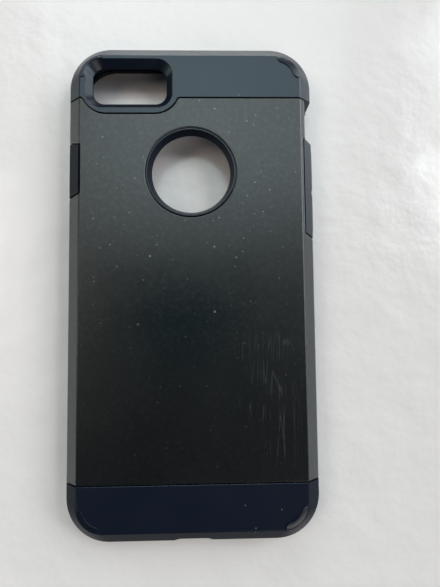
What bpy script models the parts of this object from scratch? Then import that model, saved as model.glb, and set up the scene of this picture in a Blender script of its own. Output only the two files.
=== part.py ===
"""Two-layer phone case, lying on its open front with the back of the case facing up.

A soft inner sleeve holds the phone and shows as the bands at both ends, the camera surround and
the collar of the round window.  A hard outer shell drops over it: a back plate with chamfered
edges that run down into a rail on each side.  Three press pads sit in the side walls, over the
phone's side buttons.

Metres, +Z up.  X is the case's width, Y its length with the camera end at +Y.  The origin is on
the resting plane, at the middle of the case's outline.
"""

import math

import bmesh
import bpy
from mathutils import Vector

MM = 0.001

# The phone that the case fits, and the room around it
PHONE_WIDTH = 67.1 * MM
PHONE_LENGTH = 138.3 * MM
PHONE_THICKNESS = 7.1 * MM
PHONE_SLACK = 0.2 * MM
GAP = 0.3 * MM

# Outer form
SIDE_WALL = 1.95 * MM
CASE_WIDTH = PHONE_WIDTH + 2 * PHONE_SLACK + 2 * SIDE_WALL
CASE_LENGTH = PHONE_LENGTH + 2 * PHONE_SLACK + 2 * SIDE_WALL - 0.1 * MM
HALF_X = CASE_WIDTH / 2
HALF_Y = CASE_LENGTH / 2
CORNER_RADIUS = 12.4 * MM
FOOT_CHAMFER = 0.5 * MM
LIP_HEIGHT = 1.2 * MM
LIP_INSET = 2.85 * MM
POCKET_TOP = LIP_HEIGHT + PHONE_THICKNESS + 0.1 * MM
BACK_HEIGHT = 10.7 * MM
CHAMFER_WIDTH = 3.66 * MM
CHAMFER_DROP = 3.1 * MM
CREASE_X = HALF_X - CHAMFER_WIDTH
CREASE_Y = HALF_Y - CHAMFER_WIDTH
CREASE_RADIUS = 7.04 * MM
POCKET_CHAMFER_WIDTH = 2.75 * MM
POCKET_CHAMFER_DROP = 2.2 * MM

# Seams between the shell's plate and the sleeve's bands.  The top one dips round the camera.
SEAM_TOP = 54.9 * MM
SEAM_BOTTOM = -54.8 * MM
DIP_BOTTOM = 50.2 * MM
DIP_CENTRE_X = -17.43 * MM
DIP_HALF_WIDTH = 14.2 * MM
DIP_RADIUS = 7.25 * MM
DIP_SHOULDER_RADIUS = 1.0 * MM

# Outer shell
PLATE_THICKNESS = 1.2 * MM
SKIRT_THICKNESS = 1.0 * MM
SKIRT_FOOT = 2.6 * MM
PAD_EDGE_X = 32.85 * MM
MUTE_EDGE_X = 33.5 * MM
CORE_CHAMFER_RUN = 3.0 * MM
CORE_CHAMFER_RISE = 2.3 * MM

# Round window in the back plate, with the sleeve's collar inside it
WINDOW_Y = 32.92 * MM
WINDOW_RADIUS = 13.2 * MM
COLLAR_RIM_RADIUS = 12.53 * MM
COLLAR_THROAT_RADIUS = 11.4 * MM
THROAT_HEIGHT = 8.62 * MM

# Camera opening
CAMERA_CENTRE = (-17.82 * MM, 59.23 * MM)
CAMERA_RIM_HALF = (12.6 * MM, 7.32 * MM)
CAMERA_RIM_RADIUS = 4.4 * MM
CAMERA_THROAT_HALF = (10.75 * MM, 5.3 * MM)
CAMERA_THROAT_RADIUS = 3.3 * MM

# Stretches of Y where the sleeve fills the side instead of the shell's rail.  Each is given at
# its inner edge, with how fast its low end and its high end move apart towards the outside.
POWER_ZONE = (26.85 * MM, 41.2 * MM)
POWER_SPREAD = (0.23, 0.34)
VOLUME_ZONE = (15.23 * MM, 43.43 * MM)
VOLUME_SPREAD = (0.51, -0.5)
MUTE_FLOOR = 1.2 * MM

# Press pads
PAD_LOW = 2.9 * MM
PAD_HIGH = 6.7 * MM
PAD_PROUD = 0.4 * MM
PAD_RECESS = 0.6 * MM
PAD_EDGE = 0.45 * MM
PAD_CORNER = 1.2 * MM
PADS = {
    "power_button": (-1, 27.6 * MM, 41.0 * MM),
    "volume_up_button": (1, 28.2 * MM, 41.0 * MM),
    "volume_down_button": (1, 15.5 * MM, 27.6 * MM),
}
NOTCH_Y = 27.9 * MM
NOTCH_DEPTH = 0.6 * MM
NOTCH_HALF_WIDTH = 0.6 * MM

# Openings in the bottom wall
PORT_HALF = (5.8 * MM, 3.15 * MM)
PORT_HEIGHT = 5.2 * MM
SLOT_HALF = (6.5 * MM, 1.3 * MM)
SLOT_X = 16.6 * MM
SLOT_HEIGHT = 4.8 * MM

# Raised corner guards on the sleeve's bands
GUARD_HEIGHT = 0.35 * MM
GUARD_INNER_RADIUS = 5.1 * MM
GUARD_SPAN = math.radians(84)

CORNER_STEPS = 10
WINDOW_STEPS = 56
BEYOND = 5.0 * MM


def clear_scene():
    for obj in list(bpy.data.objects):
        bpy.data.objects.remove(obj, do_unlink=True)


def rounded_rectangle(half_u, half_v, radius, steps=CORNER_STEPS, centre=(0.0, 0.0)):
    """Points of a rounded rectangle, counter-clockwise, starting at the +u side."""
    points = []
    for quarter, (su, sv) in enumerate(((1, 1), (-1, 1), (-1, -1), (1, -1))):
        for step in range(steps + 1):
            angle = math.pi / 2 * (quarter + step / steps)
            points.append((centre[0] + su * (half_u - radius) + radius * math.cos(angle),
                           centre[1] + sv * (half_v - radius) + radius * math.sin(angle)))
    return points


def circle(radius, centre, steps=WINDOW_STEPS):
    angles = (2 * math.pi * step / steps for step in range(steps))
    return [(centre[0] + radius * math.cos(a), centre[1] + radius * math.sin(a)) for a in angles]


def across_z(u, v, w):
    return Vector((u, v, w))


def across_x(u, v, w):
    return Vector((w, u, v))


def across_y(u, v, w):
    return Vector((u, w, v))


def loft(name, sections, place=across_z):
    """A closed solid through (height, outline) sections that all have as many points."""
    mesh = bmesh.new()
    rings = [[mesh.verts.new(place(u, v, height)) for u, v in outline]
             for height, outline in sections]
    for low, high in zip(rings, rings[1:]):
        for i in range(len(low)):
            j = (i + 1) % len(low)
            mesh.faces.new((low[i], low[j], high[j], high[i]))
    mesh.faces.new(list(reversed(rings[0])))
    mesh.faces.new(rings[-1])
    bmesh.ops.recalc_face_normals(mesh, faces=mesh.faces)
    return to_object(name, mesh)


def prism(name, outline, low, high, place=across_z):
    return loft(name, [(low, outline), (high, outline)], place)


def to_object(name, mesh):
    data = bpy.data.meshes.new(name)
    mesh.to_mesh(data)
    mesh.free()
    obj = bpy.data.objects.new(name, data)
    bpy.context.scene.collection.objects.link(obj)
    return obj


def combine(target, tool, operation):
    """Joins, cuts or intersects target with tool, and hides the tool as construction."""
    modifier = target.modifiers.new(tool.name, "BOOLEAN")
    modifier.operation = operation
    modifier.solver = "EXACT"
    modifier.object = tool
    tool.hide_render = True
    tool.display_type = "WIRE"
    return target


def cut(target, tool):
    return combine(target, tool, "DIFFERENCE")


def join(target, tool):
    return combine(target, tool, "UNION")


def set_origin(obj, point):
    for vertex in obj.data.vertices:
        vertex.co -= point
    obj.location = point


def smooth(obj):
    obj.data.shade_smooth()
    obj.data.set_sharp_from_angle(angle=math.radians(30))


def principled(name, colour, roughness):
    material = bpy.data.materials.new(name)
    material.use_nodes = True
    shader = material.node_tree.nodes["Principled BSDF"]
    shader.inputs["Base Color"].default_value = (*colour, 1.0)
    shader.inputs["Roughness"].default_value = roughness
    shader.inputs["Metallic"].default_value = 0.0
    return material


def inset_outline(inset, radius):
    return rounded_rectangle(HALF_X - inset, HALF_Y - inset, radius)


def outer_body():
    """The case's outer form: upright walls, then a chamfer all round up to the flat back."""
    return loft("inner_sleeve", [
        (0.0, inset_outline(FOOT_CHAMFER, CORNER_RADIUS - FOOT_CHAMFER)),
        (FOOT_CHAMFER, inset_outline(0.0, CORNER_RADIUS)),
        (BACK_HEIGHT - CHAMFER_DROP, inset_outline(0.0, CORNER_RADIUS)),
        (BACK_HEIGHT, inset_outline(CHAMFER_WIDTH, CREASE_RADIUS)),
    ])


def phone_pocket():
    """The phone's room, with its way in through the lip."""
    lip = inset_outline(LIP_INSET, CORNER_RADIUS - LIP_INSET)
    wall = inset_outline(SIDE_WALL, CORNER_RADIUS - SIDE_WALL)
    ceiling = inset_outline(SIDE_WALL + POCKET_CHAMFER_WIDTH, CREASE_RADIUS)
    return loft("cut_pocket", [
        (-BEYOND, lip),
        (LIP_HEIGHT, lip),
        (LIP_HEIGHT, wall),
        (POCKET_TOP - POCKET_CHAMFER_DROP, wall),
        (POCKET_TOP, ceiling),
    ])


def core_profile(gap):
    """The sleeve's cross-section under the shell, right half from the side up, grown by gap."""
    side = HALF_X - SKIRT_THICKNESS - GAP
    top = BACK_HEIGHT - PLATE_THICKNESS - GAP
    slope = math.atan2(CORE_CHAMFER_RUN, CORE_CHAMFER_RISE)
    knee = (side + gap, top - CORE_CHAMFER_RISE + gap * math.tan((math.pi / 2 - slope) / 2))
    edge = (side - CORE_CHAMFER_RUN + gap * math.tan(slope / 2), top + gap)
    return [knee, edge]


def mirrored(right):
    """An outline of (x, z) points from its right half, which runs upwards."""
    return right + [(-x, z) for x, z in reversed(right)]


def shell_body():
    """The shell's cross-section, a shallow arch with a foot on each side, run along the case."""
    knee, edge = core_profile(GAP)
    outside = [(HALF_X, SKIRT_FOOT), (HALF_X, BACK_HEIGHT - CHAMFER_DROP), (CREASE_X, BACK_HEIGHT)]
    inside = [(knee[0], SKIRT_FOOT), knee, edge]
    outline = mirrored(outside) + list(reversed(mirrored(inside)))
    return prism("outer_shell", outline, SEAM_BOTTOM + GAP / 2, SEAM_TOP + BEYOND, across_y)


def shell_room():
    """The room that the sleeve leaves for the shell, a gap larger than the shell all round."""
    knee, edge = core_profile(0.0)
    foot = SKIRT_FOOT - GAP
    beyond = HALF_X + BEYOND
    outside = [(beyond, foot), (beyond, BACK_HEIGHT + BEYOND)]
    inside = [(knee[0], foot), knee, edge]
    outline = mirrored(outside) + list(reversed(mirrored(inside)))
    return prism("cut_shell_room", outline, SEAM_BOTTOM - GAP / 2, SEAM_TOP + BEYOND, across_y)


def arc(centre, radius, start, end, steps):
    """Points along an arc, with the angles in degrees."""
    angles = (math.radians(start + (end - start) * step / steps) for step in range(steps + 1))
    return [(centre[0] + radius * math.cos(a), centre[1] + radius * math.sin(a)) for a in angles]


def top_seam(shift):
    """The top seam from -X to +X, moved by shift towards the camera end of the case."""
    arc_y = DIP_BOTTOM + DIP_RADIUS
    shoulder_y = SEAM_TOP - DIP_SHOULDER_RADIUS
    reach = DIP_RADIUS + DIP_SHOULDER_RADIUS
    lean = math.degrees(math.asin((arc_y - shoulder_y) / reach))
    run = reach * math.cos(math.radians(lean))
    left = DIP_CENTRE_X - DIP_HALF_WIDTH + DIP_RADIUS
    right = DIP_CENTRE_X + DIP_HALF_WIDTH - DIP_RADIUS
    dip, shoulder = DIP_RADIUS - shift, DIP_SHOULDER_RADIUS + shift
    beyond = HALF_X + 2 * BEYOND
    points = [(-beyond, SEAM_TOP + shift)]
    points += arc((left - run, shoulder_y), shoulder, 90, lean, 5)
    points += arc((left, arc_y), dip, 180 + lean, 270, 10)[1:]
    points += arc((right, arc_y), dip, 270, 360 - lean, 10)
    points += arc((right + run, shoulder_y), shoulder, 180 - lean, 90, 5)[1:]
    return points + [(beyond, SEAM_TOP + shift)]


def beyond_top_seam(name, shift):
    """Everything on the camera side of the top seam."""
    seam = top_seam(shift)
    far = HALF_Y + 2 * BEYOND
    return prism(name, seam + [(seam[-1][0], far), (seam[0][0], far)], -BEYOND, BACK_HEIGHT + BEYOND)


def zone_ends(zone, spread, run):
    return zone[0] - spread[0] * run, zone[1] + spread[1] * run


def side_zone(name, side, inner_x, zone, spread, gap):
    """A block over one side wall with leaning ends, grown lengthways by gap."""
    outer_x = HALF_X + BEYOND
    low, high = zone[0] - gap, zone[1] + gap
    outer_low, outer_high = zone_ends((low, high), spread, outer_x - inner_x)
    outline = [(side * inner_x, low), (side * outer_x, outer_low),
               (side * outer_x, outer_high), (side * inner_x, high)]
    return prism(name, outline, -BEYOND, BACK_HEIGHT + BEYOND)


def camera_opening():
    slope_x, slope_y = (
        (rim - throat) / (BACK_HEIGHT - THROAT_HEIGHT)
        for rim, throat in zip(CAMERA_RIM_HALF, CAMERA_THROAT_HALF))
    growth = (CAMERA_RIM_RADIUS - CAMERA_THROAT_RADIUS) / (BACK_HEIGHT - THROAT_HEIGHT)
    throat = rounded_rectangle(*CAMERA_THROAT_HALF, CAMERA_THROAT_RADIUS, centre=CAMERA_CENTRE)
    above = 1.0 * MM
    rise = BACK_HEIGHT + above - THROAT_HEIGHT
    rim = rounded_rectangle(CAMERA_THROAT_HALF[0] + slope_x * rise,
                            CAMERA_THROAT_HALF[1] + slope_y * rise,
                            CAMERA_THROAT_RADIUS + growth * rise, centre=CAMERA_CENTRE)
    return loft("cut_camera", [(POCKET_TOP - BEYOND, throat), (THROAT_HEIGHT, throat),
                               (BACK_HEIGHT + above, rim)])


def window_throat():
    centre = (0.0, WINDOW_Y)
    above = 1.0 * MM
    slope = (COLLAR_RIM_RADIUS - COLLAR_THROAT_RADIUS) / (BACK_HEIGHT - THROAT_HEIGHT)
    return loft("cut_window_throat", [
        (POCKET_TOP - BEYOND, circle(COLLAR_THROAT_RADIUS, centre)),
        (THROAT_HEIGHT, circle(COLLAR_THROAT_RADIUS, centre)),
        (BACK_HEIGHT + above, circle(COLLAR_RIM_RADIUS + slope * above, centre)),
    ])


def window_cylinder(name, radius):
    return prism(name, circle(radius, (0.0, WINDOW_Y)), POCKET_TOP + GAP, BACK_HEIGHT + BEYOND)


def mute_opening():
    """The gap beside the phone's mute switch, from the lip up past the shell's edge."""
    inner = HALF_X - SIDE_WALL - 0.45 * MM
    outer = HALF_X + BEYOND
    inner_low = zone_ends(VOLUME_ZONE, VOLUME_SPREAD, inner - PAD_EDGE_X)[1]
    outer_low = zone_ends(VOLUME_ZONE, VOLUME_SPREAD, outer - PAD_EDGE_X)[1]
    high = SEAM_TOP + GAP / 2
    outline = [(inner, inner_low), (outer, outer_low), (outer, high), (inner, high)]
    return prism("cut_mute_opening", outline, MUTE_FLOOR, BACK_HEIGHT + BEYOND)


def mute_scoop():
    """A slope that takes the top off the lip's outer edge under the mute opening."""
    inner, outer = HALF_X - SIDE_WALL + 0.2 * MM, HALF_X + 1.0 * MM
    outline = [(inner, MUTE_FLOOR), (outer, 0.0), (outer, MUTE_FLOOR + GAP), (inner, MUTE_FLOOR + GAP)]
    low = VOLUME_ZONE[1] + 0.2 * MM
    return prism("cut_mute_scoop", outline, low, SEAM_TOP - 0.6 * MM, across_y)


def pad_notch():
    """A V-shaped groove down the side between the volume pads."""
    tip = HALF_X - NOTCH_DEPTH
    outer = HALF_X + 1.0 * MM
    half = NOTCH_HALF_WIDTH * (outer - tip) / NOTCH_DEPTH
    outline = [(tip, NOTCH_Y), (outer, NOTCH_Y - half), (outer, NOTCH_Y + half)]
    return prism("cut_pad_notch", outline, SKIRT_FOOT - GAP, BACK_HEIGHT)


def pad_aperture(name, side, low, high):
    """The slot in the side wall that a pad, or two pads in a row, slides in."""
    centre = ((low + high) / 2, (PAD_LOW + PAD_HIGH) / 2)
    outline = rounded_rectangle((high - low) / 2 + GAP, (PAD_HIGH - PAD_LOW) / 2 + GAP,
                                PAD_CORNER + GAP, 4, centre)
    inner, outer = HALF_X - SIDE_WALL - 1.0 * MM, HALF_X + BEYOND
    return prism(name, outline, side * inner, side * outer, across_x)


def bottom_opening(name, half, centre_x, centre_z):
    radius = min(half) - 0.1 * MM
    outline = rounded_rectangle(*half, min(radius, 2.2 * MM), 6, (centre_x, centre_z))
    return prism(name, outline, -HALF_Y - BEYOND, -HALF_Y + SIDE_WALL + 1.2 * MM, across_y)


def guard_outline(sx, sy, outer_radius, widen):
    """A crescent round one corner, whose inner edge flares out to the crease at both ends."""
    centre = (sx * (CREASE_X - CREASE_RADIUS), sy * (CREASE_Y - CREASE_RADIUS))
    steps = 12
    start = (math.pi / 2 - GUARD_SPAN) / 2

    def point(radius, share):
        angle = start + GUARD_SPAN * share
        return (centre[0] + sx * radius * math.cos(angle), centre[1] + sy * radius * math.sin(angle))

    outer = [point(outer_radius, i / steps) for i in range(steps + 1)]
    inner = []
    for i in range(steps, -1, -1):
        share = i / steps
        flare = abs(2 * share - 1) ** 10
        inner_radius = GUARD_INNER_RADIUS - widen
        inner.append(point(inner_radius + flare * (CREASE_RADIUS - 0.5 * MM - inner_radius), share))
    return outer + inner


def corner_guard(name, sx, sy):
    """A low ridge that follows the crease round one corner of the back."""
    buried = 0.6 * MM
    slope = CHAMFER_WIDTH / CHAMFER_DROP
    return loft(name, [
        (BACK_HEIGHT - buried, guard_outline(sx, sy, CREASE_RADIUS - 0.05 * MM, 0.15 * MM)),
        (BACK_HEIGHT, guard_outline(sx, sy, CREASE_RADIUS - 0.05 * MM, 0.15 * MM)),
        (BACK_HEIGHT + GUARD_HEIGHT,
         guard_outline(sx, sy, CREASE_RADIUS - 0.05 * MM - slope * GUARD_HEIGHT, 0.0)),
    ])


def inner_sleeve(material):
    room = shell_room()
    cut(room, window_cylinder("keep_collar", WINDOW_RADIUS - GAP))
    cut(room, beyond_top_seam("keep_top_band", GAP / 2))
    cut(room, side_zone("keep_power", -1, CREASE_X + GAP / 2, POWER_ZONE, POWER_SPREAD, -GAP / 2))
    cut(room, side_zone("keep_volume", 1, PAD_EDGE_X + GAP, VOLUME_ZONE, VOLUME_SPREAD, -GAP / 2))
    sleeve = outer_body()
    for index, (sx, sy) in enumerate(((1, 1), (-1, 1), (-1, -1), (1, -1))):
        join(sleeve, corner_guard(f"add_guard_{index}", sx, sy))
    cut(sleeve, phone_pocket())
    cut(sleeve, room)
    cut(sleeve, camera_opening())
    cut(sleeve, window_throat())
    cut(sleeve, mute_opening())
    cut(sleeve, mute_scoop())
    cut(sleeve, pad_notch())
    cut(sleeve, pad_aperture("cut_power", -1, *PADS["power_button"][1:]))
    volume_low, volume_high = PADS["volume_down_button"][1], PADS["volume_up_button"][2]
    cut(sleeve, pad_aperture("cut_volume", 1, volume_low, volume_high))
    cut(sleeve, bottom_opening("cut_port", PORT_HALF, 0.0, PORT_HEIGHT))
    for side in (-1, 1):
        name = "cut_slot_left" if side < 0 else "cut_slot_right"
        cut(sleeve, bottom_opening(name, SLOT_HALF, side * SLOT_X, SLOT_HEIGHT))
    sleeve.data.materials.append(material)
    smooth(sleeve)
    return sleeve


def outer_shell(material):
    shell = shell_body()
    cut(shell, window_cylinder("cut_window", WINDOW_RADIUS))
    cut(shell, beyond_top_seam("cut_top_seam", -GAP / 2))
    inner = CREASE_X - GAP / 2
    cut(shell, side_zone("cut_power_zone", -1, inner, POWER_ZONE, POWER_SPREAD, GAP / 2))
    cut(shell, side_zone("cut_volume_zone", 1, PAD_EDGE_X, VOLUME_ZONE, VOLUME_SPREAD, GAP / 2))
    mute_zone = (sum(VOLUME_ZONE) / 2, SEAM_TOP + 2 * BEYOND)
    cut(shell, side_zone("cut_mute_zone", 1, MUTE_EDGE_X, mute_zone, (0.0, 0.0), 0.0))
    shell.data.materials.append(material)
    set_origin(shell, Vector((0.0, 0.0, BACK_HEIGHT - PLATE_THICKNESS)))
    smooth(shell)
    return shell


def press_pad(name, side, low, high, material):
    """A pad in the side wall: upright sides, then a bevelled face that stands proud."""
    centre = ((low + high) / 2, (PAD_LOW + PAD_HIGH) / 2)
    half = ((high - low) / 2, (PAD_HIGH - PAD_LOW) / 2)
    full = rounded_rectangle(*half, PAD_CORNER, 4, centre)
    face = rounded_rectangle(half[0] - PAD_EDGE, half[1] - PAD_EDGE, PAD_CORNER - PAD_EDGE, 4, centre)
    inner = HALF_X - SIDE_WALL + PAD_RECESS
    outer = HALF_X + PAD_PROUD
    pad = loft(name, [(side * inner, full), (side * (outer - PAD_EDGE), full),
                      (side * outer, face)], across_x)
    pad.data.materials.append(material)
    set_origin(pad, Vector((side * inner, *centre)))
    smooth(pad)
    return pad


def build():
    clear_scene()
    soft = principled("soft_navy_black", (0.008, 0.011, 0.020), 0.45)
    hard = principled("hard_black", (0.007, 0.007, 0.007), 0.35)
    inner_sleeve(soft)
    outer_shell(hard)
    for name, (side, low, high) in PADS.items():
        press_pad(name, side, low, high, soft)


build()
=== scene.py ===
"""Looks of the layered phone case: fine shells, soft mouldings, materials, light and camera.

Metres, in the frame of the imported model: +X towards the volume pads, +Y towards the camera opening,
+Z out of the back.  The case lies on its open front at z = 0.
"""

import math

import bmesh
import bpy
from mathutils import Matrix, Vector


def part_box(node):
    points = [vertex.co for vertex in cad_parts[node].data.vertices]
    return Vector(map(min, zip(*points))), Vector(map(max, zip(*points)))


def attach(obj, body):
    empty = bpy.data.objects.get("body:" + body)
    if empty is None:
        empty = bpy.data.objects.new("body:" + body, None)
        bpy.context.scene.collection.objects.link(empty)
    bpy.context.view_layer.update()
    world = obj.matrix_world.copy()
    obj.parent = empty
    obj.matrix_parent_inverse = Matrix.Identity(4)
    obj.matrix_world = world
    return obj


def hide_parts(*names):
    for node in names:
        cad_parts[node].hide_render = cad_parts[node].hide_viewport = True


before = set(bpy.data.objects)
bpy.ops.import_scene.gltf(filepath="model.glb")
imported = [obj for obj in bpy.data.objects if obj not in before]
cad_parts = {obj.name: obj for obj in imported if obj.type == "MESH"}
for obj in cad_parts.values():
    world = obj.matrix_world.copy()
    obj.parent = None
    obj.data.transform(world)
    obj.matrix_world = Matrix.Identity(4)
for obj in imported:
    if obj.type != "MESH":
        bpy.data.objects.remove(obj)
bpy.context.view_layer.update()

MM = 0.001
GAP = 0.3 * MM

# The outer form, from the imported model's own boxes
SLEEVE_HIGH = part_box("inner_sleeve")[1]
SHELL_LOW, SHELL_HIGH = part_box("outer_shell")
HALF_X = SLEEVE_HIGH.x
HALF_Y = SLEEVE_HIGH.y
BACK = SHELL_HIGH.z
GUARD_TOP = SLEEVE_HIGH.z
SEAM_TOP = SHELL_HIGH.y + GAP / 2
SEAM_BOTTOM = SHELL_LOW.y - GAP / 2
SKIRT_FOOT = SHELL_LOW.z

# Sections of the wall and the chamfered back edge
CORNER_RADIUS = 12.4 * MM
CREASE_RADIUS = 7.04 * MM
CHAMFER_WIDTH = 3.66 * MM
CHAMFER_DROP = 3.1 * MM
CREASE_X = HALF_X - CHAMFER_WIDTH
CREASE_Y = HALF_Y - CHAMFER_WIDTH
SIDE_WALL = 1.95 * MM
LIP_INSET = 2.85 * MM
LIP_HEIGHT = 1.2 * MM
POCKET_TOP = 8.4 * MM
POCKET_CHAMFER = (2.75 * MM, 2.2 * MM)
PLATE_THICKNESS = 1.2 * MM
SKIRT_THICKNESS = 1.0 * MM
CORE_CHAMFER = (3.0 * MM, 2.3 * MM)

# The top seam's dip round the camera
DIP_BOTTOM = 50.2 * MM
DIP_CENTRE_X = -17.43 * MM
DIP_HALF_WIDTH = 14.2 * MM
DIP_RADIUS = 7.25 * MM
SHOULDER_RADIUS = 1.0 * MM

# Openings
WINDOW_Y = 32.92 * MM
WINDOW_RADIUS = 13.2 * MM
COLLAR_RIM = 12.53 * MM
COLLAR_THROAT = 11.4 * MM
THROAT_HEIGHT = 8.62 * MM
CAMERA_CENTRE = (-17.82 * MM, 59.23 * MM)
CAMERA_RIM = (12.6 * MM, 7.32 * MM, 4.4 * MM)
CAMERA_THROAT = (10.75 * MM, 5.3 * MM, 3.3 * MM)
PAD_EDGE_X = 32.85 * MM
MUTE_EDGE_X = 33.5 * MM
POWER_ZONE = (26.85 * MM, 41.2 * MM)
POWER_SPREAD = (0.23, 0.34)
VOLUME_ZONE = (15.23 * MM, 43.43 * MM)
VOLUME_SPREAD = (0.51, -0.5)
NOTCH_Y = 27.9 * MM
PORT = (5.8 * MM, 3.15 * MM, 5.2 * MM)
SLOT = (6.5 * MM, 1.3 * MM, 4.8 * MM)
SLOT_X = 16.6 * MM

BEYOND = 5.0 * MM
CORNER_STEPS = 20
WINDOW_STEPS = 128
SMOOTH_ANGLE = math.radians(32)


# ---------------------------------------------------------------- outlines

def arc(centre, radius, start, end, steps):
    """Points along an arc, with the angles in degrees."""
    angles = (math.radians(start + (end - start) * step / steps) for step in range(steps + 1))
    return [(centre[0] + radius * math.cos(a), centre[1] + radius * math.sin(a)) for a in angles]


def rounded_rectangle(half_u, half_v, radius, steps=CORNER_STEPS, centre=(0.0, 0.0)):
    """Points of a rounded rectangle, counter-clockwise, starting at the +u side."""
    points = []
    for quarter, (su, sv) in enumerate(((1, 1), (-1, 1), (-1, -1), (1, -1))):
        middle = (centre[0] + su * (half_u - radius), centre[1] + sv * (half_v - radius))
        points += arc(middle, radius, 90 * quarter, 90 * quarter + 90, steps)
    return points


def circle(radius, centre, steps=WINDOW_STEPS):
    return arc(centre, radius, 0, 360 * (steps - 1) / steps, steps - 1)


def filleted(points, radii, steps=5):
    """A polyline whose inner corners are rounded to the given radii; zero keeps a corner sharp."""
    rounded = [points[0]]
    for before, corner, after, radius in zip(points, points[1:], points[2:], radii):
        corner_v = Vector(corner)
        into = (Vector(before) - corner_v).normalized()
        out = (Vector(after) - corner_v).normalized()
        if radius == 0.0:
            rounded.append(corner)
            continue
        half = into.angle(out) / 2
        reach = radius / math.tan(half)
        centre = corner_v + (into + out).normalized() * (radius / math.sin(half))
        start = corner_v + into * reach - centre
        turn = (corner_v + out * reach - centre).angle_signed(start)
        for step in range(steps + 1):
            angle = math.atan2(start.y, start.x) + turn * step / steps
            rounded.append((centre.x + radius * math.cos(angle), centre.y + radius * math.sin(angle)))
    return rounded + [points[-1]]


def inset_outline(inset, radius):
    return rounded_rectangle(HALF_X - inset, HALF_Y - inset, radius)


def top_seam(shift):
    """The top seam from -X to +X, moved by shift towards the camera end of the case."""
    arc_y = DIP_BOTTOM + DIP_RADIUS
    shoulder_y = SEAM_TOP - SHOULDER_RADIUS
    reach = DIP_RADIUS + SHOULDER_RADIUS
    lean = math.degrees(math.asin((arc_y - shoulder_y) / reach))
    run = reach * math.cos(math.radians(lean))
    left = DIP_CENTRE_X - DIP_HALF_WIDTH + DIP_RADIUS
    right = DIP_CENTRE_X + DIP_HALF_WIDTH - DIP_RADIUS
    dip, shoulder = DIP_RADIUS - shift, SHOULDER_RADIUS + shift
    beyond = HALF_X + 2 * BEYOND
    points = [(-beyond, SEAM_TOP + shift)]
    points += arc((left - run, shoulder_y), shoulder, 90, lean, 8)
    points += arc((left, arc_y), dip, 180 + lean, 270, 20)[1:]
    points += arc((right, arc_y), dip, 270, 360 - lean, 20)
    points += arc((right + run, shoulder_y), shoulder, 180 - lean, 90, 8)[1:]
    return points + [(beyond, SEAM_TOP + shift)]


# ---------------------------------------------------------------- solids

def across_z(u, v, w):
    return Vector((u, v, w))


def across_x(u, v, w):
    return Vector((w, u, v))


def across_y(u, v, w):
    return Vector((u, w, v))


def to_object(name, mesh):
    data = bpy.data.meshes.new(name)
    mesh.to_mesh(data)
    mesh.free()
    obj = bpy.data.objects.new(name, data)
    bpy.context.scene.collection.objects.link(obj)
    return obj


def loft(name, sections, place=across_z):
    """A closed solid through (height, outline) sections that all have as many points."""
    mesh = bmesh.new()
    rings = [[mesh.verts.new(place(u, v, height)) for u, v in outline]
             for height, outline in sections]
    for low, high in zip(rings, rings[1:]):
        for i in range(len(low)):
            j = (i + 1) % len(low)
            mesh.faces.new((low[i], low[j], high[j], high[i]))
    mesh.faces.new(list(reversed(rings[0])))
    mesh.faces.new(rings[-1])
    bmesh.ops.recalc_face_normals(mesh, faces=mesh.faces)
    return to_object(name, mesh)


def prism(name, outline, low, high, place=across_z):
    return loft(name, [(low, outline), (high, outline)], place)


def combine(target, tool, operation):
    modifier = target.modifiers.new(tool.name, "BOOLEAN")
    modifier.operation = operation
    modifier.solver = "EXACT"
    modifier.object = tool
    return tool


def settle(obj, tools):
    """Fixes the object's modifiers in its mesh and removes the tools that shaped it."""
    depsgraph = bpy.context.evaluated_depsgraph_get()
    shaped = bpy.data.meshes.new_from_object(obj.evaluated_get(depsgraph))
    obj.modifiers.clear()
    obj.data = shaped
    for tool in tools:
        bpy.data.objects.remove(tool, do_unlink=True)


def tidy_mesh(obj):
    """Merges points that fell together and dissolves the leftovers on flat faces."""
    mesh = bmesh.new()
    mesh.from_mesh(obj.data)
    bmesh.ops.remove_doubles(mesh, verts=mesh.verts, dist=0.002 * MM)
    bmesh.ops.dissolve_limit(mesh, angle_limit=math.radians(0.3), verts=mesh.verts,
                             edges=mesh.edges)
    mesh.to_mesh(obj.data)
    mesh.free()


def round_edges(obj, width, segments=3, wanted=lambda edge: True):
    """Rounds the object's sharp edges, or the wanted ones among them."""
    mesh = bmesh.new()
    mesh.from_mesh(obj.data)
    weight = mesh.edges.layers.float.new("bevel_weight_edge")
    for edge in mesh.edges:
        if edge.is_manifold and edge.calc_face_angle() > SMOOTH_ANGLE and wanted(edge):
            edge[weight] = 1.0
    mesh.to_mesh(obj.data)
    mesh.free()
    bevel = obj.modifiers.new("round_edges", "BEVEL")
    bevel.width = width
    bevel.segments = segments
    bevel.limit_method = "WEIGHT"
    bevel.miter_outer = "MITER_ARC"
    bevel.use_clamp_overlap = False


def even_shading(obj):
    """Smooth shading that keeps the flat faces flat."""
    obj.data.shade_smooth()
    normals = obj.modifiers.new("even_shading", "WEIGHTED_NORMAL")
    normals.keep_sharp = True
    normals.weight = 80


# ---------------------------------------------------------------- the case's surfaces

def back_profile():
    """The wall and chamfer in section, as (inset, height), from the foot to the flat back."""
    return filleted(
        [(2.0 * MM, 0.0), (0.0, 0.0), (0.0, BACK - CHAMFER_DROP), (CHAMFER_WIDTH, BACK),
         (CHAMFER_WIDTH + 1.5 * MM, BACK)],
        [0.8 * MM, 1.4 * MM, 0.8 * MM], 6)


def outline_radius(inset, height):
    if height < BACK - 2 * CHAMFER_DROP:
        return CORNER_RADIUS - inset
    return CORNER_RADIUS - inset * (CORNER_RADIUS - CREASE_RADIUS) / CHAMFER_WIDTH


def outer_body(name):
    return loft(name, [(height, inset_outline(inset, outline_radius(inset, height)))
                       for inset, height in back_profile()])


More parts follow.
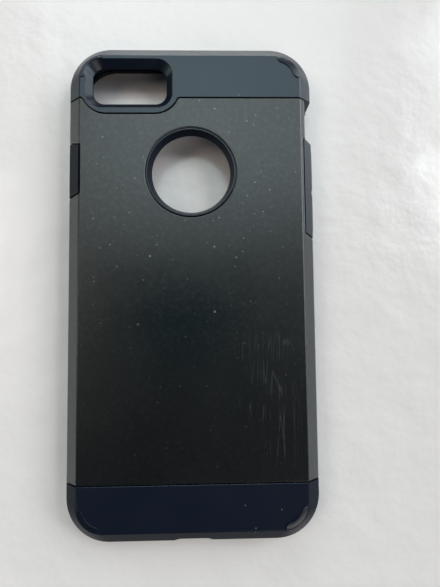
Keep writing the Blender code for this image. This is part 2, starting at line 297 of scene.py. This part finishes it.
def phone_pocket():
    profile = filleted(
        [(LIP_INSET + 0.8 * MM, -BEYOND), (LIP_INSET + 0.05 * MM, LIP_HEIGHT * 0.5),
         (LIP_INSET, LIP_HEIGHT), (SIDE_WALL, LIP_HEIGHT + 0.02 * MM),
         (SIDE_WALL, POCKET_TOP - POCKET_CHAMFER[1]),
         (SIDE_WALL + POCKET_CHAMFER[0], POCKET_TOP), (SIDE_WALL + 8 * MM, POCKET_TOP)],
        [0.0, 0.0, 0.0, 2.0 * MM, 1.5 * MM], 6)
    return loft("cut_pocket", [(height, inset_outline(inset, max(CORNER_RADIUS - inset, 3.0 * MM)))
                               for inset, height in profile])


def core_profile(gap):
    """The sleeve's section under the shell, right half from the side up, grown by gap."""
    side = HALF_X - SKIRT_THICKNESS - GAP
    top = BACK - PLATE_THICKNESS - GAP
    run, rise = CORE_CHAMFER
    slope = math.atan2(run, rise)
    knee = (side + gap, top - rise + gap * math.tan((math.pi / 2 - slope) / 2))
    edge = (side - run + gap * math.tan(slope / 2), top + gap)
    return knee, edge


def mirrored(right):
    return right + [(-x, z) for x, z in reversed(right)]


def arch(name, gap, outside, foot, ends):
    """A shallow arch in section, open below, run along the case between its ends."""
    knee, edge = core_profile(gap)
    inside = filleted([(knee[0], foot), knee, edge, (0.0, edge[1])], [1.0 * MM, 1.0 * MM], 4)[:-1]
    return prism(name, mirrored(outside) + list(reversed(mirrored(inside))), *ends, across_y)


def shell_body():
    section = [(HALF_X - inset, height) for inset, height in back_profile()
               if height > SKIRT_FOOT]
    outside = [(HALF_X, SKIRT_FOOT)] + section
    return arch("shell_fine", GAP, outside, SKIRT_FOOT, (SEAM_BOTTOM + GAP / 2, SEAM_TOP + BEYOND))


def shell_room():
    foot = SKIRT_FOOT - GAP
    outside = [(HALF_X + BEYOND, foot), (HALF_X + BEYOND, BACK + BEYOND)]
    return arch("cut_shell_room", 0.0, outside, foot, (SEAM_BOTTOM - GAP / 2, SEAM_TOP + BEYOND))


def beyond_top_seam(name, shift):
    seam = top_seam(shift)
    far = HALF_Y + 2 * BEYOND
    return prism(name, seam + [(seam[-1][0], far), (seam[0][0], far)], -BEYOND, BACK + BEYOND)


def zone_ends(zone, spread, run):
    return zone[0] - spread[0] * run, zone[1] + spread[1] * run


def side_zone(name, side, inner_x, zone, spread, gap):
    """A block over one side wall with leaning ends, grown lengthways by gap."""
    outer_x = HALF_X + BEYOND
    low, high = zone[0] - gap, zone[1] + gap
    outer_low, outer_high = zone_ends((low, high), spread, outer_x - inner_x)
    outline = [(side * inner_x, low), (side * outer_x, outer_low),
               (side * outer_x, outer_high), (side * inner_x, high)]
    return prism(name, outline, -BEYOND, BACK + BEYOND)


def flared(name, rows, outline_at):
    """A cutter whose outline grows with height: rows are (size, height)."""
    return loft(name, [(height, outline_at(size)) for size, height in rows])


def camera_opening():
    """The bevelled camera opening.  Its rim and its throat are rounded over."""
    def outline(share):
        sizes = (low + share * (high - low) for low, high in zip(CAMERA_THROAT, CAMERA_RIM))
        half_x, half_y, radius = sizes
        return rounded_rectangle(half_x, half_y, radius, centre=CAMERA_CENTRE)

    bevel = CAMERA_RIM[1] - CAMERA_THROAT[1]
    section = filleted(
        [(0.0, POCKET_TOP - BEYOND), (0.0, THROAT_HEIGHT), (bevel, BACK),
         (bevel + 2.2 * MM, BACK + 0.8 * MM)],
        [0.5 * MM, 0.7 * MM], 5)
    return flared("cut_camera", [(run / bevel, height) for run, height in section], outline)


def window_throat():
    """The round window's collar, with its rim and its throat rounded over."""
    section = filleted(
        [(COLLAR_THROAT, POCKET_TOP - BEYOND), (COLLAR_THROAT, THROAT_HEIGHT),
         (COLLAR_RIM, BACK), (COLLAR_RIM + 0.8 * MM, BACK + 0.3 * MM)],
        [0.5 * MM, 0.4 * MM], 5)
    return flared("cut_window_throat", section, lambda radius: circle(radius, (0.0, WINDOW_Y)))


def window_cylinder(name, radius):
    return prism(name, circle(radius, (0.0, WINDOW_Y)), POCKET_TOP + GAP, BACK + BEYOND)


def mute_opening():
    """The gap beside the phone's mute switch, from the lip up past the shell's edge."""
    inner = HALF_X - SIDE_WALL - 0.45 * MM
    outer = HALF_X + BEYOND
    inner_low = zone_ends(VOLUME_ZONE, VOLUME_SPREAD, inner - PAD_EDGE_X)[1]
    outer_low = zone_ends(VOLUME_ZONE, VOLUME_SPREAD, outer - PAD_EDGE_X)[1]
    high = SEAM_TOP + GAP / 2
    outline = [(inner, inner_low), (outer, outer_low), (outer, high), (inner, high)]
    return prism("cut_mute_opening", outline, LIP_HEIGHT, BACK + BEYOND)


def mute_scoop():
    inner, outer = HALF_X - SIDE_WALL + 0.2 * MM, HALF_X + 1.0 * MM
    top = LIP_HEIGHT + GAP
    outline = [(inner, LIP_HEIGHT), (outer, 0.0), (outer, top), (inner, top)]
    return prism("cut_mute_scoop", outline, VOLUME_ZONE[1] + 0.2 * MM, SEAM_TOP - 0.6 * MM, across_y)


def pad_notch():
    tip, outer = HALF_X - 0.6 * MM, HALF_X + 1.0 * MM
    half = 1.6 * MM
    outline = filleted([(outer, NOTCH_Y - half), (tip, NOTCH_Y), (outer, NOTCH_Y + half)], [0.3 * MM])
    return prism("cut_pad_notch", outline, SKIRT_FOOT - GAP, BACK)


def pad_aperture(name, side, low, high, centre_z, half_z):
    outline = rounded_rectangle((high - low) / 2 + GAP, half_z + GAP, 1.5 * MM, 6,
                                ((low + high) / 2, centre_z))
    inner, outer = HALF_X - SIDE_WALL - 1.0 * MM, HALF_X + BEYOND
    return prism(name, outline, side * inner, side * outer, across_x)


def bottom_opening(name, half_x, half_z, centre_x, centre_z, radius):
    """An opening through the bottom wall that flares a little towards the outside."""
    wall, inner = -HALF_Y, -HALF_Y + SIDE_WALL + 1.2 * MM
    flare = 0.5 * MM
    rows = [(wall - BEYOND, flare), (wall - 0.05 * MM, flare), (wall + 0.25 * MM, 0.15 * MM),
            (wall + 0.6 * MM, 0.0), (inner, 0.0)]
    return loft(name, [(y, rounded_rectangle(half_x + grow, half_z + grow, radius + grow, 8,
                                             (centre_x, centre_z))) for y, grow in rows], across_y)


def corner_guard(name, sx, sy):
    """A low ridge round one corner.  Its top falls towards the chamfer and its ends run out."""
    centre = (sx * (CREASE_X - CREASE_RADIUS), sy * (CREASE_Y - CREASE_RADIUS))
    steps, span = 48, 84.0
    outer, inner = CREASE_RADIUS - 0.05 * MM, 5.1 * MM

    def round_the_corner(reach, height, degrees):
        angle = math.radians(degrees)
        return Vector((centre[0] + sx * reach * math.cos(angle),
                       centre[1] + sy * reach * math.sin(angle), height))

    def section(share):
        flare = abs(2 * share - 1) ** 10
        edge = inner + flare * (outer - 0.45 * MM - inner)
        return filleted([(outer, BACK - 0.6 * MM), (outer, BACK - 0.02 * MM),
                         (edge + 0.2 * MM, GUARD_TOP), (edge, BACK - 0.6 * MM)],
                        [0.0, 0.15 * MM], 4)

    start = (90.0 - span) / 2
    return loft(name, [(start + span * i / steps, section(i / steps)) for i in range(steps + 1)],
                round_the_corner)


# ---------------------------------------------------------------- pieces

def off_the_guards(edge):
    """False for the edges of the corner guards, which have their own roundings."""
    heights = [point.co.z for point in edge.verts]
    on_the_back = min(heights) > BACK - 0.05 * MM
    return max(heights) < BACK + 0.01 * MM and (edge.is_convex or not on_the_back)


def sleeve_piece():
    room = shell_room()
    room_tools = [
        combine(room, window_cylinder("keep_collar", WINDOW_RADIUS - GAP), "DIFFERENCE"),
        combine(room, beyond_top_seam("keep_top_band", GAP / 2), "DIFFERENCE"),
        combine(room, side_zone("keep_power", -1, CREASE_X + GAP / 2, POWER_ZONE, POWER_SPREAD,
                                -GAP / 2), "DIFFERENCE"),
        combine(room, side_zone("keep_volume", 1, PAD_EDGE_X + GAP, VOLUME_ZONE, VOLUME_SPREAD,
                                -GAP / 2), "DIFFERENCE"),
    ]
    sleeve = outer_body("sleeve_moulding")
    guards = [combine(sleeve, corner_guard(f"guard_{i}", sx, sy), "UNION")
              for i, (sx, sy) in enumerate(((1, 1), (-1, 1), (-1, -1), (1, -1)))]
    power_low, power_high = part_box("power_button")
    up_low, up_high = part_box("volume_up_button")
    down_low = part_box("volume_down_button")[0]
    centre_z = (power_low.z + power_high.z) / 2
    half_z = (power_high.z - power_low.z) / 2
    port_x, port_z, port_height = PORT
    slot_x, slot_z, slot_height = SLOT
    cutters = [
        phone_pocket(), room, camera_opening(), window_throat(), mute_opening(), mute_scoop(),
        pad_notch(),
        pad_aperture("cut_power", -1, power_low.y, power_high.y, centre_z, half_z),
        pad_aperture("cut_volume", 1, down_low.y, up_high.y, centre_z, half_z),
        bottom_opening("cut_port", port_x, port_z, 0.0, port_height, 2.2 * MM),
        bottom_opening("cut_slot_left", slot_x, slot_z, -SLOT_X, slot_height, 1.2 * MM),
        bottom_opening("cut_slot_right", slot_x, slot_z, SLOT_X, slot_height, 1.2 * MM),
    ]
    cutters = [combine(sleeve, cutter, "DIFFERENCE") for cutter in cutters]
    settle(sleeve, guards + cutters + room_tools)
    tidy_mesh(sleeve)
    round_edges(sleeve, 0.12 * MM, wanted=off_the_guards)
    even_shading(sleeve)
    return sleeve


def shell_piece():
    shell = shell_body()
    inner = CREASE_X - GAP / 2
    mute_zone = (sum(VOLUME_ZONE) / 2, SEAM_TOP + 2 * BEYOND)
    tools = [
        combine(shell, window_cylinder("cut_window", WINDOW_RADIUS), "DIFFERENCE"),
        combine(shell, beyond_top_seam("cut_top_seam", -GAP / 2), "DIFFERENCE"),
        combine(shell, side_zone("cut_power_zone", -1, inner, POWER_ZONE, POWER_SPREAD, GAP / 2),
                "DIFFERENCE"),
        combine(shell, side_zone("cut_volume_zone", 1, PAD_EDGE_X, VOLUME_ZONE, VOLUME_SPREAD,
                                 GAP / 2), "DIFFERENCE"),
        combine(shell, side_zone("cut_mute_zone", 1, MUTE_EDGE_X, mute_zone, (0.0, 0.0), 0.0),
                "DIFFERENCE"),
    ]
    settle(shell, tools)
    tidy_mesh(shell)
    round_edges(shell, 0.32 * MM)
    even_shading(shell)
    return shell


def pad_piece(node):
    """A press pad: upright sides, a rounded shoulder and a slightly crowned face."""
    low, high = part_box(node)
    side = 1 if low.x > 0 else -1
    inner, outer = (low.x, high.x) if side > 0 else (-high.x, -low.x)
    half = ((high.y - low.y) / 2, (high.z - low.z) / 2)
    centre = ((high.y + low.y) / 2, (high.z + low.z) / 2)
    section = filleted([(0.25 * MM, inner), (0.0, inner), (0.0, outer - 0.12 * MM),
                        (1.5 * MM, outer)], [0.2 * MM, 0.45 * MM], 6)
    rows = [(side * x, rounded_rectangle(half[0] - inset, half[1] - inset,
                                         max(1.2 * MM - inset, 0.2 * MM), 8, centre))
            for inset, x in section]
    pad = loft(f"{node}_fine", rows, across_x)
    even_shading(pad)
    return pad


# ---------------------------------------------------------------- materials

class Surface:
    """A principled material with short ways to hang procedural detail on it."""

    def __init__(self, name, colour, roughness, specular=0.5):
        self.material = bpy.data.materials.new(name)
        self.material.use_nodes = True
        self.tree = self.material.node_tree
        self.shader = self.tree.nodes["Principled BSDF"]
        self.shader.inputs["Base Color"].default_value = (*colour, 1.0)
        self.shader.inputs["Roughness"].default_value = roughness
        self.shader.inputs["Specular IOR Level"].default_value = specular
        coordinates = self.tree.nodes.new("ShaderNodeTexCoord").outputs
        self.place, self.facing = coordinates["Object"], coordinates["Normal"]

    def feed(self, socket, value):
        if isinstance(value, bpy.types.NodeSocket):
            self.tree.links.new(value, socket)
        else:
            socket.default_value = value

    def math(self, operation, first, second=0.0):
        node = self.tree.nodes.new("ShaderNodeMath")
        node.operation = operation
        self.feed(node.inputs[0], first)
        self.feed(node.inputs[1], second)
        return node.outputs[0]

    def spread(self, value, low, high, new_low=0.0, new_high=1.0):
        """Maps low..high to new_low..new_high, clamped."""
        node = self.tree.nodes.new("ShaderNodeMapRange")
        for name, number in (("From Min", low), ("From Max", high),
                             ("To Min", new_low), ("To Max", new_high)):
            node.inputs[name].default_value = number
        self.feed(node.inputs["Value"], value)
        return node.outputs["Result"]

    def noise(self, size, detail=2.0):
        """Noise whose largest features are about size metres across."""
        node = self.tree.nodes.new("ShaderNodeTexNoise")
        node.inputs["Scale"].default_value = 1.0 / size
        node.inputs["Detail"].default_value = detail
        self.feed(node.inputs["Vector"], self.place)
        return node.outputs["Fac"]

    def stretched(self, turn, scale):
        node = self.tree.nodes.new("ShaderNodeMapping")
        node.inputs["Rotation"].default_value = (0.0, 0.0, math.radians(turn))
        node.inputs["Scale"].default_value = scale
        self.feed(node.inputs["Vector"], self.place)
        return node.outputs["Vector"]

    def specks(self, spacing, radius, share):
        """Round specks in a share of the cells; their radius is a share of the spacing."""
        cells = self.tree.nodes.new("ShaderNodeTexVoronoi")
        cells.inputs["Scale"].default_value = 1.0 / spacing
        self.feed(cells.inputs["Vector"], self.place)
        inside = self.spread(cells.outputs["Distance"], radius, radius * 0.4)
        picked = self.tree.nodes.new("ShaderNodeSeparateColor")
        self.feed(picked.inputs["Color"], cells.outputs["Color"])
        chosen = self.math("LESS_THAN", picked.outputs[0], share)
        faint = self.spread(picked.outputs[1], 0.0, 1.0, 0.25, 1.0)
        return self.math("MULTIPLY", self.math("MULTIPLY", inside, chosen), faint)

    def hairlines(self, turn, spacing, length, width):
        """Long thin lines, broken up as light scratches are: width is a share of the spacing."""
        cells = self.tree.nodes.new("ShaderNodeTexVoronoi")
        cells.feature = "DISTANCE_TO_EDGE"
        cells.voronoi_dimensions = "2D"
        cells.inputs["Scale"].default_value = 1.0
        self.feed(cells.inputs["Vector"], self.stretched(turn, (1.0 / spacing, 1.0 / length, 0.1)))
        drawn = self.spread(cells.outputs["Distance"], 0.0, width, 1.0, 0.0)
        broken = self.spread(self.noise(9 * MM, 2.0), 0.42, 0.66)
        return self.math("MULTIPLY", drawn, broken)

    def part_of(self, vector, axis):
        node = self.tree.nodes.new("ShaderNodeSeparateXYZ")
        self.feed(node.inputs["Vector"], vector)
        return node.outputs[axis]

    def along(self, axis):
        return self.part_of(self.place, axis)

    def lean(self):
        """How far the surface faces out of the back: 1 on the back, 0 on upright walls."""
        return self.part_of(self.facing, "Z")

    def patch(self, centre, half, soft):
        """1 inside a soft-edged rectangle of the back, 0 outside it."""
        reach = 1.0
        for axis, middle, size in zip("XY", centre, half):
            offset = self.math("ABSOLUTE", self.math("SUBTRACT", self.along(axis), middle))
            reach = self.math("MULTIPLY", reach, self.spread(offset, size + soft, size - soft))
        return reach

    def stain(self, amount, colour):
        """Lays a colour over the base colour where amount is high."""
        mix = self.tree.nodes.new("ShaderNodeMix")
        mix.data_type = "RGBA"
        socket = self.shader.inputs["Base Color"]
        before = socket.links[0].from_socket if socket.is_linked else tuple(socket.default_value)
        self.feed(mix.inputs["Factor"], amount)
        self.feed(mix.inputs["A"], before)
        self.feed(mix.inputs["B"], (*colour, 1.0))
        self.feed(socket, mix.outputs["Result"])

    def relief(self, height, distance, strength=1.0):
        """Adds bumps of the given height in metres."""
        bump = self.tree.nodes.new("ShaderNodeBump")
        bump.inputs["Distance"].default_value = distance
        bump.inputs["Strength"].default_value = strength
        socket = self.shader.inputs["Normal"]
        if socket.is_linked:
            self.feed(bump.inputs["Normal"], socket.links[0].from_socket)
        self.feed(bump.inputs["Height"], height)
        self.feed(socket, bump.outputs["Normal"])

    def rough(self, value):
        self.feed(self.shader.inputs["Roughness"], value)


DUST = (0.40, 0.41, 0.41)
SCRATCH = (0.05, 0.052, 0.055)
# colour of the painted highlight on the rounded edges
EDGE_HIGHLIGHT = (0.15, 0.165, 0.165)
# colour of the painted dark reflection in the middle of the back
DARK_REFLECTION_TINT = (0.0020, 0.0060, 0.0068)
SLATE_SHEEN = (0.84, 0.93, 1.0, 1.0)
BOARD_DARKER = (0.70, 0.66, 0.635)
# colour of the painted shade that greys the board towards the right
BOARD_PAINTED_SHADE = (0.60, 0.57, 0.55)

# turn in degrees, centre and half size of each patch of scratches
SCRATCHED = (
    (3.0, (26.0 * MM, -34 * MM), (4.5 * MM, 18 * MM)),
    (-9.0, (24.0 * MM, -32 * MM), (5.0 * MM, 17 * MM)),
    (14.0, (22.0 * MM, -28 * MM), (6.0 * MM, 13 * MM)),
    (52.0, (19.0 * MM, -24 * MM), (8.0 * MM, 9 * MM)),
)


def dust(surface):
    """Fine and coarse specks and a thin film, thinning out towards the bottom end."""
    upper = surface.spread(surface.along("Y"), -22 * MM, 30 * MM, 0.15, 1.0)
    film = surface.spread(surface.noise(1.1 * MM, 4.0), 0.45, 0.75, 0.0, 0.04)
    fine = surface.specks(2.0 * MM, 0.12, 0.6)
    coarse = surface.specks(6.0 * MM, 0.07, 0.5)
    specks = surface.math("ADD", surface.math("MULTIPLY", fine, 0.6), coarse)
    surface.stain(surface.math("MULTIPLY", surface.math("ADD", specks, film), upper), DUST)


def scratches(surface):
    for turn, centre, half in SCRATCHED:
        lines = surface.hairlines(turn, 3.1 * MM, 45 * MM, 0.028)
        surface.stain(surface.math("MULTIPLY", lines, surface.patch(centre, half, 3 * MM)), SCRATCH)


def paint_edge_highlights(surface):
    """Painted highlight: paler plastic colour on the rounded edges, which lean more than the chamfers
    do, for the light lines those edges catch.
    """
    lean = surface.lean()
    off_walls, off_chamfers = surface.spread(lean, 0.05, 0.2), surface.spread(lean, 0.72, 0.6)
    surface.stain(surface.math("MULTIPLY", off_walls, off_chamfers), EDGE_HIGHLIGHT)


def hard_plastic():
    """Satin black plastic: dust on its upper half, a painted dark reflection over a glossier patch in
    the middle of the back, painted highlights on the rounded edges, and scratches.
    """
    surface = Surface("satin_black_plastic", (0.0022, 0.0029, 0.0028), 0.30, 0.62)
    haze = surface.spread(surface.noise(22 * MM, 4.0), 0.3, 0.7, 0.29, 0.335)
    # Painted reflection: a dark teal tint over a glossier patch in the middle of the back.
    reflection_patch = surface.patch((-3 * MM, -10 * MM), (14 * MM, 11 * MM), 10 * MM)
    surface.rough(surface.math("SUBTRACT", haze, surface.math("MULTIPLY", reflection_patch, 0.075)))
    surface.stain(reflection_patch, DARK_REFLECTION_TINT)
    surface.relief(surface.noise(0.35 * MM, 2.0), 0.004 * MM, 0.6)
    dust(surface)
    scratches(surface)
    # painted highlight on the rounded edges
    paint_edge_highlights(surface)
    return surface.material


def soft_plastic(name, gloss):
    """Dark navy soft plastic with a fine grain and a few specks of dust."""
    surface = Surface(name, (0.0034, 0.0056, 0.0125), 0.30, gloss)
    surface.shader.inputs["Specular Tint"].default_value = SLATE_SHEEN
    surface.rough(surface.spread(surface.noise(15 * MM, 3.0), 0.3, 0.7, 0.28, 0.33))
    surface.relief(surface.noise(0.3 * MM, 2.0), 0.005 * MM, 0.6)
    surface.stain(surface.math("MULTIPLY", surface.specks(3.4 * MM, 0.07, 0.3), 0.6), DUST)
    return surface.material


def painted_floor():
    """A pale painted board: shallow waves and small lumps under a gloss, with painted shade that
    makes it greyer to the right.
    """
    surface = Surface("pale_painted_board", (0.745, 0.70, 0.68), 0.24, 0.35)
    surface.shader.inputs["Coat Weight"].default_value = 0.25
    surface.shader.inputs["Coat Roughness"].default_value = 0.07
    shade = surface.spread(surface.noise(60 * MM, 5.0), 0.35, 0.7, 0.0, 0.35)
    surface.stain(shade, BOARD_DARKER)
    # painted shade: greyer towards the right
    surface.stain(surface.spread(surface.along("X"), -20 * MM, 50 * MM, 0.0, 0.5), BOARD_PAINTED_SHADE)
    surface.relief(surface.noise(14 * MM, 1.5), 1.0 * MM, 0.5)
    surface.relief(surface.noise(3.0 * MM, 2.0), 0.16 * MM, 0.7)
    return surface.material


# ---------------------------------------------------------------- the object

FLANK_LEAN = 0.9
FULL_GLOSS = 0.50
# specular level of the duller copy of the navy plastic, which paints shade on the flanks
SHADED_GLOSS = 0.08


def place(piece, node, body, slot, material):
    piece.data.materials.clear()
    piece.data.materials.append(material)
    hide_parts(node)
    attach(piece, body)


def shade_flanks(piece, material):
    """Gives the flanks of the bottom end and beside the power pad a second material: a duller copy of
    the navy plastic that paints shade on them.
    """
    piece.data.materials.append(material)
    for face in piece.data.polygons:
        centre = face.center
        beside_power = centre.x < -CREASE_X and centre.y < POWER_ZONE[1] + BEYOND
        if (centre.y < SEAM_BOTTOM or beside_power) and face.normal.z < FLANK_LEAN:
            face.material_index = 1


navy = soft_plastic("soft_navy_plastic", FULL_GLOSS)
# a duller copy of the navy plastic: painted shade for the flanks of the bottom end and beside the
# power pad, and for the power pad
shaded_navy = soft_plastic("shaded_navy_plastic", SHADED_GLOSS)
sleeve = sleeve_piece()
place(sleeve, "inner_sleeve", "sleeve", "sleeve", navy)
shade_flanks(sleeve, shaded_navy)
place(shell_piece(), "outer_shell", "shell", "shell", hard_plastic())
# the power pad wears the duller copy too: painted shade
place(pad_piece("power_button"), "power_button", "power_pad", "pads", shaded_navy)
place(pad_piece("volume_up_button"), "volume_up_button", "volume_up_pad", "pads", navy)
place(pad_piece("volume_down_button"), "volume_down_button", "volume_down_pad", "pads", navy)

# ---------------------------------------------------------------- stage, light and camera

FLOOR_SIZE = 1.5

LIGHT_DISTANCE = 2.0

# name, azimuth and elevation in degrees, width and height in metres, watts, colour
LIGHTS = (
    ("window", 34, 30, 1.00, 1.50, 23.0, (0.92, 0.96, 1.0)),
    ("window_top", 24, 52, 0.50, 0.36, 5.0, (0.95, 0.98, 1.0)),
    ("right", 2, 34, 0.60, 0.50, 8.0, (0.90, 0.95, 1.0)),
    ("right_low", 0, 8, 2.40, 0.40, 7.5, (0.90, 1.0, 0.98)),
    ("behind_low", 84, 11, 1.33, 0.50, 15.0, (0.93, 1.0, 0.95)),
    ("behind_left", 112, 32, 1.67, 0.60, 8.0, (0.82, 0.92, 1.0)),
    ("behind_high", 92, 62, 1.30, 1.00, 12.0, (0.81, 0.985, 1.0)),
    ("left", 170, 52, 1.00, 0.70, 9.0, (1.0, 0.90, 0.81)),
    ("left_low", 180, 8, 2.20, 0.40, 5.5, (0.85, 1.0, 0.92)),
    ("front", 300, 33, 1.00, 0.60, 6.0, (1.0, 0.88, 0.78)),
)
WORLD_COLOUR = (0.54, 0.70, 1.0)
WORLD_STRENGTH = 0.06


def lay_floor():
    mesh = bmesh.new()
    bmesh.ops.create_grid(mesh, x_segments=1, y_segments=1, size=FLOOR_SIZE)
    floor = to_object("floor", mesh)
    floor.data.materials.append(painted_floor())


def hang_light(name, azimuth, elevation, width, height, watts, colour):
    """A soft rectangular light that faces the middle of the case."""
    turn, rise = math.radians(azimuth), math.radians(elevation)
    towards = Vector((math.cos(turn) * math.cos(rise), math.sin(turn) * math.cos(rise),
                      math.sin(rise)))
    data = bpy.data.lights.new(name, "AREA")
    data.shape = "RECTANGLE"
    data.size, data.size_y = width, height
    data.energy = watts
    data.color = colour
    light = bpy.data.objects.new(name, data)
    light.location = towards * LIGHT_DISTANCE
    light.rotation_euler = towards.to_track_quat("Z", "Y").to_euler()
    bpy.context.scene.collection.objects.link(light)


def set_world():
    world = bpy.data.worlds.new("dim_room")
    world.use_nodes = True
    background = world.node_tree.nodes["Background"]
    background.inputs["Color"].default_value = (*WORLD_COLOUR, 1.0)
    background.inputs["Strength"].default_value = WORLD_STRENGTH
    bpy.context.scene.world = world


def set_camera():
    data = bpy.data.cameras.new("camera")
    data.sensor_width = 36.0
    data.lens = 26.0
    data.clip_start = 0.01
    camera = bpy.data.objects.new("camera", data)
    camera.location = (5.03 * MM, -9.25 * MM, 130.38 * MM)
    camera.rotation_euler = (math.radians(3.39), math.radians(-1.38), math.radians(-0.62))
    bpy.context.scene.collection.objects.link(camera)
    bpy.context.scene.camera = camera


def write_sizes():
    bpy.context.view_layer.update()


lay_floor()
for light_settings in LIGHTS:
    hang_light(*light_settings)
set_world()
set_camera()
bpy.context.scene.view_settings.view_transform = "Standard"
write_sizes()
